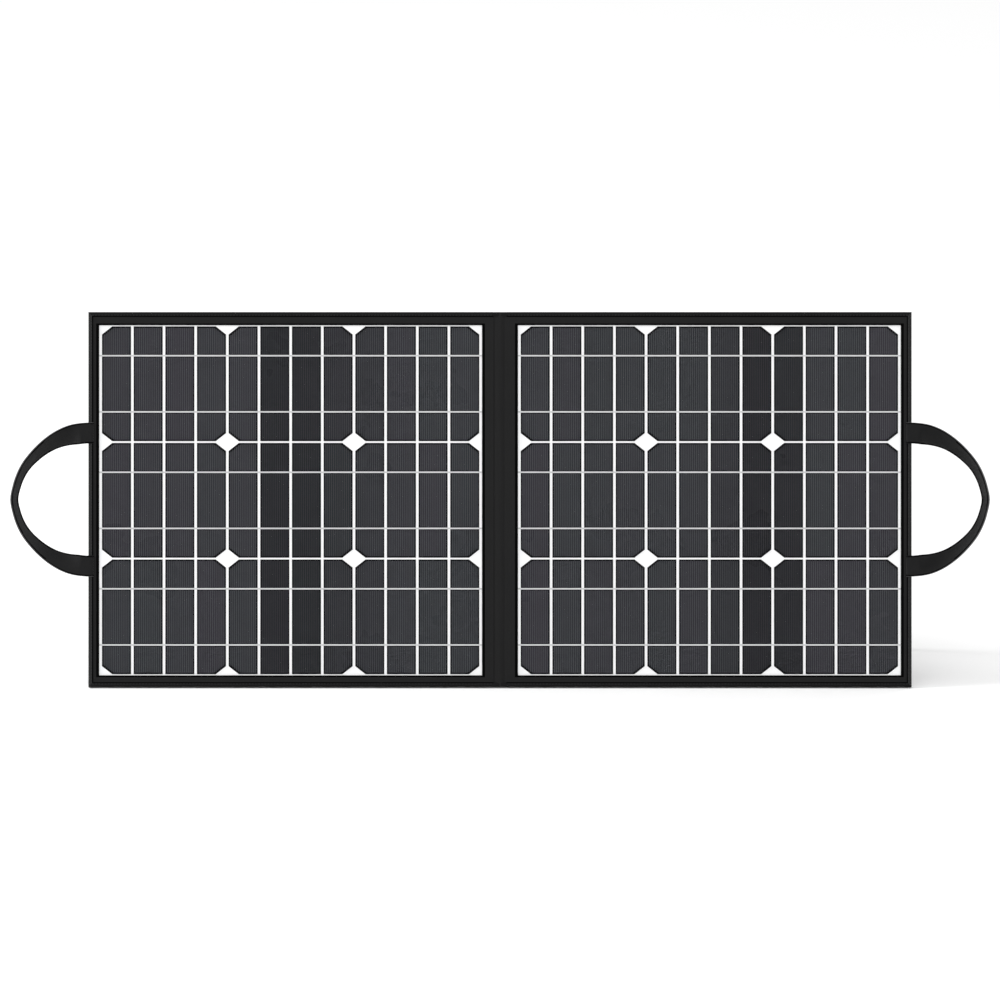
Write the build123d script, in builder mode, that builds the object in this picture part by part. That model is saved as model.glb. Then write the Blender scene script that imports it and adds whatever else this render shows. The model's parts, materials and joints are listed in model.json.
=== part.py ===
from build123d import *
import os
from math import cos, sin, radians, sqrt

os.makedirs("parts", exist_ok=True)

# ---------------------------------------------------------------- driving dimensions, mm and degrees
LEAN = 15.0
PANEL_W = 900.0
PANEL_H = 410.0
SPINE_HALF = 7.0
LEAF_GAP = 0.2

COVER_T = 0.8
BOARD_T = 2.0
SHEET_T = 1.0
FILM_T = 0.7
FRAME_T = 0.7
BIND_T = 0.6
BIND_W = 4.5

WINDOW_IN = 19.5
WINDOW_OUT = 438.3
WINDOW_LOW = 12.7
WINDOW_HIGH = 395.6
WINDOW_GAP = 0.5
FILM_RISE = 0.1

CELL_W = 31.25
CELL_H = 125.0
CELL_T = 0.3
CELL_GAP = 3.36
ROW_GAP = 2.4
CHAMFER_X = 11.3
CHAMFER_V = 8.9
STRIPS = 12
ROWS = 3
RIBBON_W = 1.6
RIBBON_T = 0.2
RIBBON_OFF = 30.7
LINK_W = 4.0
LINK_X = (14.0, 443.5)

STRAP_W = 23.0
STRAP_T = 1.3
STRAP_ROOT = 72.7
HANDLE_OUT = 2.0
HANDLE_TWIST = 73.0
TWIST_POWER = 1.9

LEG_X = 330.0
LEG_W = 130.0
LEG_V = 320.0
LEG_T = 3.0
LEG_BACK = 13.0
LEG_PIN_R = 1.6
LEG_PIN_OFF = 4.0
KNUCKLE_R = 3.2
KNUCKLE_W = 18.0
KNUCKLES = (-44.0, 0.0, 44.0)
RIVET_R = 2.0
RIVET_HEAD_R = 3.6
RIVET_FIT = 0.05
FOOT_H = 12.0
FOOT_WALL = 1.5
STAY_D = 165.0
STAY_W = 20.0
STAY_T = 1.0

POCKET_X = (-232.0, -34.0)
POCKET_V = (110.0, 290.0)
POCKET_D = 22.0
POCKET_WALL = 1.2
POCKET_HEM = 9.0
POCKET_ROUND = 6.0
ZIP_X = -62.0
ZIP_V = (128.0, 272.0)
ZIP_SLOT = 9.0
TAPE_W = 20.0
TAPE_T = 0.8
COIL_W = 4.4
COIL_H = 1.5
SLIDER_W = 7.8
SLIDER_L = 11.0
SLIDER_H = 3.4
RUN_GAP = 0.35
BAIL_R = 2.6
PULL_R = 1.0
PULL_L = 26.0

CASE_X = (-216.0, -104.0)
CASE_V = (160.0, 226.0)
CASE_D = 15.0
CASE_WALL = 1.6
CASE_LID = 2.0
BOARD_GAP = 3.0
PCB_T = 1.6
BOSS_R = 3.0
SCREW_R = 1.25
SCREW_HEAD_R = 2.4
SCREW_INSET = 6.0

# ---------------------------------------------------------------- derived dimensions
HALF = PANEL_W / 2
MID_V = PANEL_H / 2
W_BOARD = BOARD_T
W_SHEET = W_BOARD + SHEET_T
W_FILM = W_SHEET + FILM_T
W_FRAME = W_FILM + FRAME_T
W_FRONT = W_FRAME + BIND_T
W_BACK = -COVER_T - BIND_T
OUTER_IN = HALF - BIND_T
LEAF_IN = SPINE_HALF + LEAF_GAP

CELL_PITCH = CELL_W + CELL_GAP
ROW_PITCH = CELL_H + ROW_GAP
BLOCK_W = STRIPS * CELL_PITCH - CELL_GAP
CELL_X0 = (WINDOW_IN + WINDOW_OUT) / 2 - BLOCK_W / 2 + CELL_W / 2
ROW_MID = (WINDOW_LOW + WINDOW_HIGH) / 2
ROW_V = [ROW_MID + (r - 1) * ROW_PITCH for r in range(ROWS)]

C = cos(radians(LEAN))
S = sin(radians(LEAN))
PIN_W = -COVER_T - LEG_PIN_OFF
LIFT = -W_BACK * S
PIN_Z = LEG_V * C + PIN_W * S + LIFT
HEEL = LEG_T / 2 + FOOT_WALL
LEG_LEN = (PIN_Z - HEEL * sin(radians(LEG_BACK))) / cos(radians(LEG_BACK))
FRONT_Y = -W_FRONT * C
REAR_Y = LEG_V * S - PIN_W * C + LEG_LEN * sin(radians(LEG_BACK)) + HEEL * cos(radians(LEG_BACK))
ORIGIN_Y = -(FRONT_Y + REAR_Y) / 2

LEAF = Plane(origin=(0, ORIGIN_Y, LIFT), x_dir=(1, 0, 0), z_dir=(0, -C, S))
SIDES = (("left", -1), ("right", 1))


def slab(x0, x1, v0, v1, w0, w1, mode=Mode.ADD):
    """A flat plate in the leaf's own frame."""
    with BuildSketch(LEAF.offset(w0)) as face:
        with Locations(((x0 + x1) / 2, (v0 + v1) / 2)):
            Rectangle(abs(x1 - x0), abs(v1 - v0))
    extrude(face.sketch, amount=w1 - w0, mode=mode)


def finish(part, label):
    part.label = label
    export_step(part, f"parts/{label}.step")


def strip_outline(col, side):
    """Corner points of one cell strip about its own centre; outer strips of a cell are cut at two corners."""
    a = CELL_W / 2
    b = CELL_H / 2
    at_low = col % 4 == 0
    at_high = col % 4 == 3
    low = [(-a, -b + CHAMFER_V), (-a, b - CHAMFER_V), (-a + CHAMFER_X, b)] if at_low else [(-a, -b), (-a, b)]
    high = [(a - CHAMFER_X, b), (a, b - CHAMFER_V), (a, -b + CHAMFER_V), (a - CHAMFER_X, -b)]
    if not at_high:
        high = [(a, b), (a, -b)]
    tail = [(-a + CHAMFER_X, -b)] if at_low else []
    return [(side * x, v) for x, v in low + high + tail]


def cell_solids(side, mode=Mode.ADD):
    with BuildSketch(LEAF.offset(W_SHEET)) as face:
        for v in ROW_V:
            for col in range(STRIPS):
                with Locations((side * (CELL_X0 + col * CELL_PITCH), v)):
                    Polygon(*strip_outline(col, side), align=None)
    extrude(face.sketch, amount=CELL_T, mode=mode)


def ribbon_solids(side, mode=Mode.ADD):
    w = W_SHEET + CELL_T
    for v in ROW_V:
        for off in (-RIBBON_OFF, RIBBON_OFF):
            lo = v + off - RIBBON_W / 2
            slab(side * (LINK_X[0] + LINK_W / 2), side * (LINK_X[1] - LINK_W / 2), lo, lo + RIBBON_W,
                 w, w + RIBBON_T, mode)


def link_solids(side, mode=Mode.ADD):
    w = W_SHEET + CELL_T
    for x in LINK_X:
        for v in ROW_V:
            slab(side * (x - LINK_W / 2), side * (x + LINK_W / 2), v - RIBBON_OFF - 4, v + RIBBON_OFF + 4,
                 w, w + RIBBON_T, mode)


# ---------------------------------------------------------------- the two leaves
for name, side in SIDES:
    with BuildPart() as back_cover:
        slab(side * LEAF_IN, side * OUTER_IN, BIND_T, PANEL_H - BIND_T, -COVER_T, 0)
    finish(back_cover.part, f"{name}_back_cover")

    with BuildPart() as board:
        slab(side * LEAF_IN, side * OUTER_IN, BIND_T, PANEL_H - BIND_T, 0, W_BOARD)
    finish(board.part, f"{name}_board")

    with BuildPart() as backsheet:
        slab(side * LEAF_IN, side * OUTER_IN, BIND_T, PANEL_H - BIND_T, W_BOARD, W_SHEET)
    finish(backsheet.part, f"{name}_backsheet")

    with BuildPart() as cells:
        cell_solids(side)
    finish(cells.part, f"{name}_cells")

    with BuildPart() as ribbons:
        ribbon_solids(side)
    finish(ribbons.part, f"{name}_ribbons")

    with BuildPart() as row_links:
        link_solids(side)
    finish(row_links.part, f"{name}_row_links")

    with BuildPart() as front_film:
        slab(side * LEAF_IN, side * OUTER_IN, BIND_T, PANEL_H - BIND_T, W_SHEET, W_FILM)
        cell_solids(side, Mode.SUBTRACT)
        ribbon_solids(side, Mode.SUBTRACT)
        link_solids(side, Mode.SUBTRACT)
        slab(side * (WINDOW_IN + WINDOW_GAP), side * (WINDOW_OUT - WINDOW_GAP), WINDOW_LOW + WINDOW_GAP,
             WINDOW_HIGH - WINDOW_GAP, W_FILM, W_FILM + FILM_RISE)
    finish(front_film.part, f"{name}_front_film")

    with BuildPart() as front_frame:
        slab(side * LEAF_IN, side * OUTER_IN, BIND_T, PANEL_H - BIND_T, W_FILM, W_FRAME)
        slab(side * WINDOW_IN, side * WINDOW_OUT, WINDOW_LOW, WINDOW_HIGH, W_FILM, W_FRAME, Mode.SUBTRACT)
    finish(front_frame.part, f"{name}_front_frame")

    # The binding is a folded tape with a C section round the top, the bottom and the outer side.
    with BuildPart() as binding:
        slab(side * LEAF_IN, side * HALF, 0, PANEL_H, W_BACK, W_FRONT)
        slab(side * LEAF_IN, side * OUTER_IN, BIND_T, PANEL_H - BIND_T, -COVER_T, W_FRAME, Mode.SUBTRACT)
        slab(side * LEAF_IN, side * (HALF - BIND_W), BIND_W, PANEL_H - BIND_W, W_BACK, W_FRONT,
             Mode.SUBTRACT)
    finish(binding.part, f"{name}_binding")

    # Each strap end comes out of the seam inside the binding and lies over it.
    with BuildPart() as handle_ends:
        for v in (MID_V - STRAP_ROOT, MID_V + STRAP_ROOT):
            slab(side * (HALF - BIND_W - STRAP_T), side * (HALF + HANDLE_OUT - 0.9), v - STRAP_W / 2,
                 v + STRAP_W / 2, W_FRONT, W_FRONT + STRAP_T)
            slab(side * (HALF - BIND_W - STRAP_T), side * (HALF - BIND_W), v - STRAP_W / 2,
                 v + STRAP_W / 2, W_FRAME, W_FRONT)
    finish(handle_ends.part, f"{name}_handle_ends")

# ---------------------------------------------------------------- the fold between the leaves
with BuildPart() as spine_cover:
    slab(-SPINE_HALF + 0.1, SPINE_HALF - 0.1, BIND_T, PANEL_H - BIND_T, -COVER_T, 0)
finish(spine_cover.part, "spine_cover")

with BuildPart() as spine_lining:
    slab(-SPINE_HALF, SPINE_HALF, 0, PANEL_H, W_FILM, W_FRAME)
finish(spine_lining.part, "spine_lining")

with BuildPart() as link_cable:
    slab(-SPINE_HALF, SPINE_HALF, 34.0, 46.0, 1.2, 2.0)
finish(link_cable.part, "link_cable")

# ---------------------------------------------------------------- webbing handles
# Outer edge of one half of the loop: distance out from the hinge line and height above the middle.
LOOP_EDGE = ((0.0, 84.2), (8.7, 83.4), (17.5, 81.7), (26.2, 78.6), (35.0, 74.1), (43.7, 68.2), (52.5, 60.6),
             (61.2, 51.4), (69.5, 40.6), (75.6, 29.0), (80.0, 16.0), (82.9, 0.0))


def strap_sections(side):
    """Cross sections of the webbing, flat at the root and turned nearly edge-on at the middle."""
    planes = []
    last = len(LOOP_EDGE) - 1
    for i, (out, up) in enumerate(LOOP_EDGE):
        a = LOOP_EDGE[max(i - 1, 0)]
        b = LOOP_EDGE[min(i + 1, last)]
        run = (b[0] - a[0], b[1] - a[1])
        if i == 0:
            run = (1.0, 0.0)
        if i == last:
            run = (0.0, -1.0)
        size = sqrt(run[0] ** 2 + run[1] ** 2)
        run = (run[0] / size, run[1] / size)
        share = max(0.0, (i - 1.0) / (last - 1.0))
        turn = radians(HANDLE_TWIST * (1 - (1 - share) ** TWIST_POWER))
        inward = (run[1], -run[0])
        wide = Vector(side * inward[0] * cos(turn), inward[1] * cos(turn), -sin(turn))
        along = Vector(side * run[0], run[1], 0)
        edge = Vector(side * (HALF + HANDLE_OUT + out), MID_V + up, W_FRONT + STRAP_T / 2)
        mid = edge + wide * (STRAP_W / 2)
        planes.append((mid, wide, along))
    return planes


def in_world(v, point=True):
    p = LEAF.x_dir * v.X + LEAF.y_dir * v.Y + LEAF.z_dir * v.Z
    return p + LEAF.origin if point else p


for name, side in SIDES:
    with BuildPart() as handle_loop:
        for mid, wide, along in strap_sections(side):
            section = Plane(origin=in_world(mid), x_dir=in_world(wide, False), z_dir=in_world(along, False))
            with BuildSketch(section):
                Rectangle(STRAP_W, STRAP_T)
        loft(ruled=True)
        mirror(about=Plane(origin=in_world(Vector(0, MID_V, 0)), z_dir=LEAF.y_dir))
    finish(handle_loop.part, f"{name}_handle_loop")

# ---------------------------------------------------------------- rear legs
# Each leg hangs from a knuckle hinge behind its leaf and stands on the floor behind it.
LEG_S = sin(radians(LEG_BACK))
LEG_C = cos(radians(LEG_BACK))
PIN_Y = ORIGIN_Y + LEG_V * S - PIN_W * C
LEG = Plane(origin=(0, PIN_Y, PIN_Z), x_dir=(1, 0, 0), z_dir=(0, -LEG_C, -LEG_S))


def leg_slab(x0, x1, d0, d1, t0, t1, mode=Mode.ADD):
    """A plate in the leg's own frame: d runs down the leg from the pin, t out of its rear face."""
    with BuildSketch(LEG.offset(-t0)) as face:
        with Locations(((x0 + x1) / 2, -(d0 + d1) / 2)):
            Rectangle(x1 - x0, d1 - d0)
    extrude(face.sketch, amount=-(t1 - t0), mode=mode)


def rod(x0, x1, radius, mode=Mode.ADD):
    """A round bar along the hinge line."""
    with BuildSketch(Plane(origin=(x0, PIN_Y, PIN_Z), x_dir=(0, 1, 0), z_dir=(1, 0, 0))) as face:
        Circle(radius)
    extrude(face.sketch, amount=x1 - x0, mode=mode)


for name, side in SIDES:
    mid = side * LEG_X
    x0 = mid - LEG_W / 2
    x1 = mid + LEG_W / 2

    with BuildPart() as leg_hinge:
        slab(x0, x1, LEG_V - KNUCKLE_R, LEG_V + 24, -COVER_T - 1.4, -COVER_T)
        for x in KNUCKLES:
            rod(mid + x - KNUCKLE_W / 2, mid + x + KNUCKLE_W / 2, KNUCKLE_R)
            rod(mid + x - KNUCKLE_W / 2, mid + x + KNUCKLE_W / 2, LEG_PIN_R + 0.06, Mode.SUBTRACT)
        with BuildSketch(LEAF.offset(-COVER_T - 1.4)):
            with Locations((mid, LEG_V + 14)):
                with GridLocations(36, 0, 4, 1):
                    Circle(RIVET_R + RIVET_FIT)
        extrude(amount=1.4, mode=Mode.SUBTRACT)
    finish(leg_hinge.part, f"{name}_leg_hinge")

    with BuildPart() as leg_rivets:
        with BuildSketch(LEAF.offset(-COVER_T)):
            with Locations((mid, LEG_V + 14)):
                with GridLocations(36, 0, 4, 1):
                    Circle(RIVET_R)
        extrude(amount=-1.4)
        with BuildSketch(LEAF.offset(-COVER_T - 1.4)):
            with Locations((mid, LEG_V + 14)):
                with GridLocations(36, 0, 4, 1):
                    Circle(RIVET_HEAD_R)
        extrude(amount=-1.1)
    finish(leg_rivets.part, f"{name}_leg_rivets")

    with BuildPart() as leg:
        leg_slab(x0, x1, KNUCKLE_R + 1.2, LEG_LEN - FOOT_WALL, -LEG_T / 2, LEG_T / 2)
        with BuildSketch(LEG.offset(LEG_T / 2)):
            with Locations((mid, -LEG_LEN / 2 - 4)):
                RectangleRounded(LEG_W - 56, LEG_LEN - 96, 18)
        extrude(amount=-LEG_T, mode=Mode.SUBTRACT)
        reach = KNUCKLE_W / 2 + 0.5
        for low, high in ((-LEG_W / 2, -44 - reach), (-44 + reach, -reach), (reach, 44 - reach),
                          (44 + reach, LEG_W / 2)):
            leg_slab(mid + low, mid + high, 0, KNUCKLE_R + 2, -LEG_T / 2, LEG_T / 2)
            rod(mid + low, mid + high, KNUCKLE_R - 0.6)
        rod(x0, x1, LEG_PIN_R)
    finish(leg.part, f"{name}_leg")

    with BuildPart() as leg_foot:
        leg_slab(x0 - FOOT_WALL, x1 + FOOT_WALL, LEG_LEN - FOOT_H, LEG_LEN, -HEEL, HEEL)
        leg_slab(x0, x1, LEG_LEN - FOOT_H, LEG_LEN - FOOT_WALL, -LEG_T / 2, LEG_T / 2, Mode.SUBTRACT)
    finish(leg_foot.part, f"{name}_leg_foot")

    # The limit strap is drawn taut between the leaf's back and the leg's front face.
    low = LEAF.origin + LEAF.y_dir * (LEG_V - STAY_D) - LEAF.z_dir * COVER_T
    high = LEG.origin - LEG.y_dir * STAY_D + LEG.z_dir * (LEG_T / 2)
    pull = (high - low).normalized()
    start = low + pull * 0.2 + Vector(mid + side * 47, 0, 0)
    with BuildPart() as leg_stay:
        with BuildSketch(Plane(origin=start, x_dir=(1, 0, 0), z_dir=pull)):
            Rectangle(STAY_W, STAY_T)
        extrude(amount=(high - low).length - 0.4)
    finish(leg_stay.part, f"{name}_leg_stay")

# ---------------------------------------------------------------- zipped pocket on the back of the left leaf
POCKET_TOP = -COVER_T - POCKET_D
TAPE_BACK = POCKET_TOP + POCKET_WALL

with BuildPart() as pocket_body:
    slab(POCKET_X[0], POCKET_X[1], POCKET_V[0], POCKET_V[1], -COVER_T, POCKET_TOP)
    rear = pocket_body.faces().sort_by(Axis((0, 0, 0), (0, C, -S)))[-1]
    rims = pocket_body.edges().filter_by(Axis((0, 0, 0), (0, C, -S))) + rear.edges()
    fillet(rims, POCKET_ROUND)
    slab(POCKET_X[0] - POCKET_HEM, POCKET_X[1] + POCKET_HEM, POCKET_V[0] - POCKET_HEM,
         POCKET_V[1] + POCKET_HEM, -COVER_T, -COVER_T - 0.8)
    slab(POCKET_X[0] + 4, POCKET_X[1] - 4, POCKET_V[0] + 4, POCKET_V[1] - 4, -COVER_T, TAPE_BACK,
         Mode.SUBTRACT)
    slab(ZIP_X - ZIP_SLOT / 2, ZIP_X + ZIP_SLOT / 2, ZIP_V[0], ZIP_V[1], POCKET_TOP, TAPE_BACK,
         Mode.SUBTRACT)
finish(pocket_body.part, "pocket_body")

with BuildPart() as zip_tape:
    slab(ZIP_X - TAPE_W / 2, ZIP_X + TAPE_W / 2, ZIP_V[0] - 6, ZIP_V[1] + 6, TAPE_BACK, TAPE_BACK + TAPE_T)
finish(zip_tape.part, "zip_tape")

with BuildPart() as zip_coil:
    slab(ZIP_X - COIL_W / 2, ZIP_X + COIL_W / 2, ZIP_V[0] + 0.5, ZIP_V[1] - 0.5, TAPE_BACK - COIL_H,
         TAPE_BACK)
finish(zip_coil.part, "zip_coil")

SLIDE_V = ZIP_V[0] + SLIDER_L / 2 + 1.0
SLIDER_BACK = TAPE_BACK - RUN_GAP - SLIDER_H
BAIL_W = SLIDER_BACK - BAIL_R + 0.6

with BuildPart() as zip_slider:
    slab(ZIP_X - SLIDER_W / 2, ZIP_X + SLIDER_W / 2, SLIDE_V - SLIDER_L / 2, SLIDE_V + SLIDER_L / 2,
         TAPE_BACK - RUN_GAP, SLIDER_BACK)
    slab(ZIP_X - COIL_W / 2 - RUN_GAP, ZIP_X + COIL_W / 2 + RUN_GAP, SLIDE_V - SLIDER_L, SLIDE_V + SLIDER_L,
         TAPE_BACK, TAPE_BACK - COIL_H - RUN_GAP, Mode.SUBTRACT)
    slab(ZIP_X - 0.9, ZIP_X + 0.9, SLIDE_V - 4.6, SLIDE_V + 1.4, SLIDER_BACK, BAIL_W - BAIL_R)
    slab(ZIP_X - 0.9, ZIP_X + 0.9, SLIDE_V - 3.2, SLIDE_V, SLIDER_BACK - 0.2, BAIL_W - BAIL_R + 1.4,
         Mode.SUBTRACT)
finish(zip_slider.part, "zip_slider")

# The pull hangs straight down from its cross bar inside the slider's bail.
BAR_V = SLIDE_V - 1.6
BAR_W = (SLIDER_BACK - 0.2 + BAIL_W - BAIL_R + 1.4) / 2
BAR = LEAF.origin + LEAF.y_dir * BAR_V + LEAF.z_dir * BAR_W
PULL = Plane(origin=(ZIP_X, BAR.Y, BAR.Z), x_dir=(1, 0, 0), z_dir=(0, -1, 0))

with BuildPart() as zip_pull:
    with BuildSketch(Plane(origin=(ZIP_X - 3.4, BAR.Y, BAR.Z), x_dir=(0, 1, 0), z_dir=(1, 0, 0))):
        Circle(PULL_R)
    extrude(amount=6.8)
    with BuildSketch(PULL.offset(-PULL_R * 0.7)):
        with Locations((0, 2.0 - PULL_L / 2)):
            RectangleRounded(8.0, PULL_L - 2.0, 2.0)
        with Locations((0, 0)):
            Rectangle(4.4, 9.0, mode=Mode.SUBTRACT)
    extrude(amount=PULL_R * 1.4)
finish(zip_pull.part, "zip_pull")

# ---------------------------------------------------------------- charge controller inside the pocket
CASE_BACK = -COVER_T - CASE_D
LID_IN = CASE_BACK + CASE_LID
SCREWS = [(x, v) for x in (CASE_X[0] + SCREW_INSET, CASE_X[1] - SCREW_INSET)
          for v in (CASE_V[0] + SCREW_INSET, CASE_V[1] - SCREW_INSET)]
PCB_IN = -COVER_T - CASE_WALL - BOARD_GAP
JACK_X = CASE_X[0] + 30
PORT_X = CASE_X[1] - 32


def posts(radius, w0, w1, mode=Mode.ADD):
    with BuildSketch(LEAF.offset(w0)) as face:
        with Locations(*SCREWS):
            Circle(radius)
    extrude(face.sketch, amount=w1 - w0, mode=mode)


with BuildPart() as controller_case:
    slab(CASE_X[0], CASE_X[1], CASE_V[0], CASE_V[1], -COVER_T, LID_IN)
    slab(CASE_X[0] + CASE_WALL, CASE_X[1] - CASE_WALL, CASE_V[0] + CASE_WALL, CASE_V[1] - CASE_WALL,
         -COVER_T - CASE_WALL, LID_IN, Mode.SUBTRACT)
    posts(BOSS_R, -COVER_T - CASE_WALL, LID_IN)
    posts(SCREW_R, -COVER_T - CASE_WALL - 2.0, LID_IN, Mode.SUBTRACT)
    slab(JACK_X - 4.6, JACK_X + 4.6, CASE_V[0], CASE_V[0] + CASE_WALL, PCB_IN - PCB_T, LID_IN, Mode.SUBTRACT)
    slab(PORT_X - 7.1, PORT_X + 7.1, CASE_V[0], CASE_V[0] + CASE_WALL, PCB_IN - PCB_T, LID_IN, Mode.SUBTRACT)
finish(controller_case.part, "controller_case")

with BuildPart() as controller_lid:
    slab(CASE_X[0], CASE_X[1], CASE_V[0], CASE_V[1], LID_IN, CASE_BACK)
    posts(SCREW_R, LID_IN, CASE_BACK, Mode.SUBTRACT)
    with BuildSketch(LEAF.offset(LID_IN)):
        with Locations(((CASE_X[0] + CASE_X[1]) / 2, CASE_V[1] - 14)):
            Circle(2.5)
    extrude(amount=-CASE_LID, mode=Mode.SUBTRACT)
finish(controller_lid.part, "controller_lid")

with BuildPart() as indicator_lens:
    with BuildSketch(LEAF.offset(LID_IN)):
        with Locations(((CASE_X[0] + CASE_X[1]) / 2, CASE_V[1] - 14)):
            Circle(2.5)
    extrude(amount=-CASE_LID - 0.6)
finish(indicator_lens.part, "indicator_lens")

with BuildPart() as controller_board:
    slab(CASE_X[0] + 2.4, CASE_X[1] - 2.4, CASE_V[0] + 2.4, CASE_V[1] - 2.4, PCB_IN, PCB_IN - PCB_T)
    posts(BOSS_R + 0.3, PCB_IN, PCB_IN - PCB_T, Mode.SUBTRACT)
finish(controller_board.part, "controller_board")

with BuildPart() as outlet_jack:
    slab(JACK_X - 4.6, JACK_X + 4.6, CASE_V[0] - 0.4, CASE_V[0] + 12, PCB_IN - PCB_T, LID_IN)
    jack_w = (PCB_IN - PCB_T + LID_IN) / 2
    front = Plane(origin=LEAF.origin + LEAF.x_dir * JACK_X + LEAF.y_dir * (CASE_V[0] - 0.4) +
                  LEAF.z_dir * jack_w, x_dir=(1, 0, 0), z_dir=LEAF.y_dir)
    with BuildSketch(front):
        Circle(2.75)
        Circle(1.0, mode=Mode.SUBTRACT)
    extrude(amount=9.0, mode=Mode.SUBTRACT)
finish(outlet_jack.part, "outlet_jack")

with BuildPart() as usb_port:
    slab(PORT_X - 7.1, PORT_X + 7.1, CASE_V[0] - 0.4, CASE_V[0] + 14, PCB_IN - PCB_T, LID_IN)
    slab(PORT_X - 6.3, PORT_X + 6.3, CASE_V[0] - 0.4, CASE_V[0] + 11, jack_w - 2.6, jack_w + 2.6,
         Mode.SUBTRACT)
    slab(PORT_X - 5.5, PORT_X + 5.5, CASE_V[0] + 0.6, CASE_V[0] + 11, jack_w + 0.1, jack_w + 2.0)
finish(usb_port.part, "usb_port")

with BuildPart() as lid_screws:
    posts(SCREW_R, CASE_BACK, LID_IN + 5.0)
    posts(SCREW_HEAD_R, CASE_BACK, CASE_BACK - 1.5)
finish(lid_screws.part, "lid_screws")
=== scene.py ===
"""Looks for the folding solar panel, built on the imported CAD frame."""
import json
import math
import random

import bmesh
import bpy
import numpy as np
from mathutils import Matrix, Vector

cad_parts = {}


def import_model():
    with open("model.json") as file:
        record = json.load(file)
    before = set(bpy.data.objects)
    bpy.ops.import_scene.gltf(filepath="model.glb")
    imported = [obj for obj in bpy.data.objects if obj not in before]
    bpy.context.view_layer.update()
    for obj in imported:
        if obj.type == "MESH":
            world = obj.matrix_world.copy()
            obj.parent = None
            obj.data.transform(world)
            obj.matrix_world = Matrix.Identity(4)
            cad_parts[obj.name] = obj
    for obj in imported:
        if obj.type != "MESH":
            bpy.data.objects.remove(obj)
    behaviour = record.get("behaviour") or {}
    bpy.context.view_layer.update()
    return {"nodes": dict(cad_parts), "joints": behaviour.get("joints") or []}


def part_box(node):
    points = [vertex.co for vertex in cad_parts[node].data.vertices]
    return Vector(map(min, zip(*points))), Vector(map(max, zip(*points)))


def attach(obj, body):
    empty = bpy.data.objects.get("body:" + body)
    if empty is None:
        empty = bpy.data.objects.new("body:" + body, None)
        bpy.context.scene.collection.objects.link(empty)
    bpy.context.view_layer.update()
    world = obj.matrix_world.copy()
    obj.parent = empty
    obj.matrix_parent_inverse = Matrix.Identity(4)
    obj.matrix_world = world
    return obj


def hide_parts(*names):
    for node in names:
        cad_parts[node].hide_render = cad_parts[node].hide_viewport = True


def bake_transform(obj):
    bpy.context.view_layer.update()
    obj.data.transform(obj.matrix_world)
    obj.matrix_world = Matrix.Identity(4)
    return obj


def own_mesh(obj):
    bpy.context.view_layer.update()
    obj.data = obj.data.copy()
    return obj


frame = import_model()
NODES = frame["nodes"]
RANDOM = random.Random(7)
MM = 0.001

# ---------------------------------------------------------------- the leaf's own frame, in millimetres
JOINTS = {j["name"]: j for j in frame["joints"]}
CREASE = 7.0
MID_V = 205.0
UP = -np.array(JOINTS["spine_fold"]["axis"], float)
UP /= np.linalg.norm(UP)
ACROSS = np.array([1.0, 0.0, 0.0])
OUT = np.cross(ACROSS, UP)
BASIS = np.array([ACROSS, UP, OUT])
ORIGIN = np.array(JOINTS["spine_fold"]["pos_m"], float) + CREASE * MM * ACROSS - MID_V * MM * UP


def world(points):
    """Leaf coordinates (across, up the panel, out of its front) in mm to the row frame in metres."""
    return ORIGIN + (np.asarray(points, float) * MM) @ BASIS


def local(point):
    """The row frame in metres to leaf coordinates in mm."""
    return (np.asarray(point, float) - ORIGIN) @ BASIS.T / MM


HALF = 450.0
HEIGHT = 410.0
W_SHEET = 3.0
W_FILM = 3.8
W_FRAME = 4.4
W_SEAT = 3.75
W_FRONT = 5.0
W_COVER = -0.8
BIND_W = 4.5
WINDOW = (19.5, 438.3, 12.7, 395.6)
INNER = 7.2
CELL_W, CELL_H, CELL_GAP, ROW_GAP = 31.25, 125.0, 3.36, 2.4
CHAMFER_X, CHAMFER_V = 11.3, 8.9
STRIPS, ROWS = 12, 3
FINGERS = 14
STRAP_W, STRAP_T, STRAP_ROOT, HINGE_X = 23.0, 1.3, 72.7, 452.0
SIDES = (("left", -1), ("right", 1))


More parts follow.
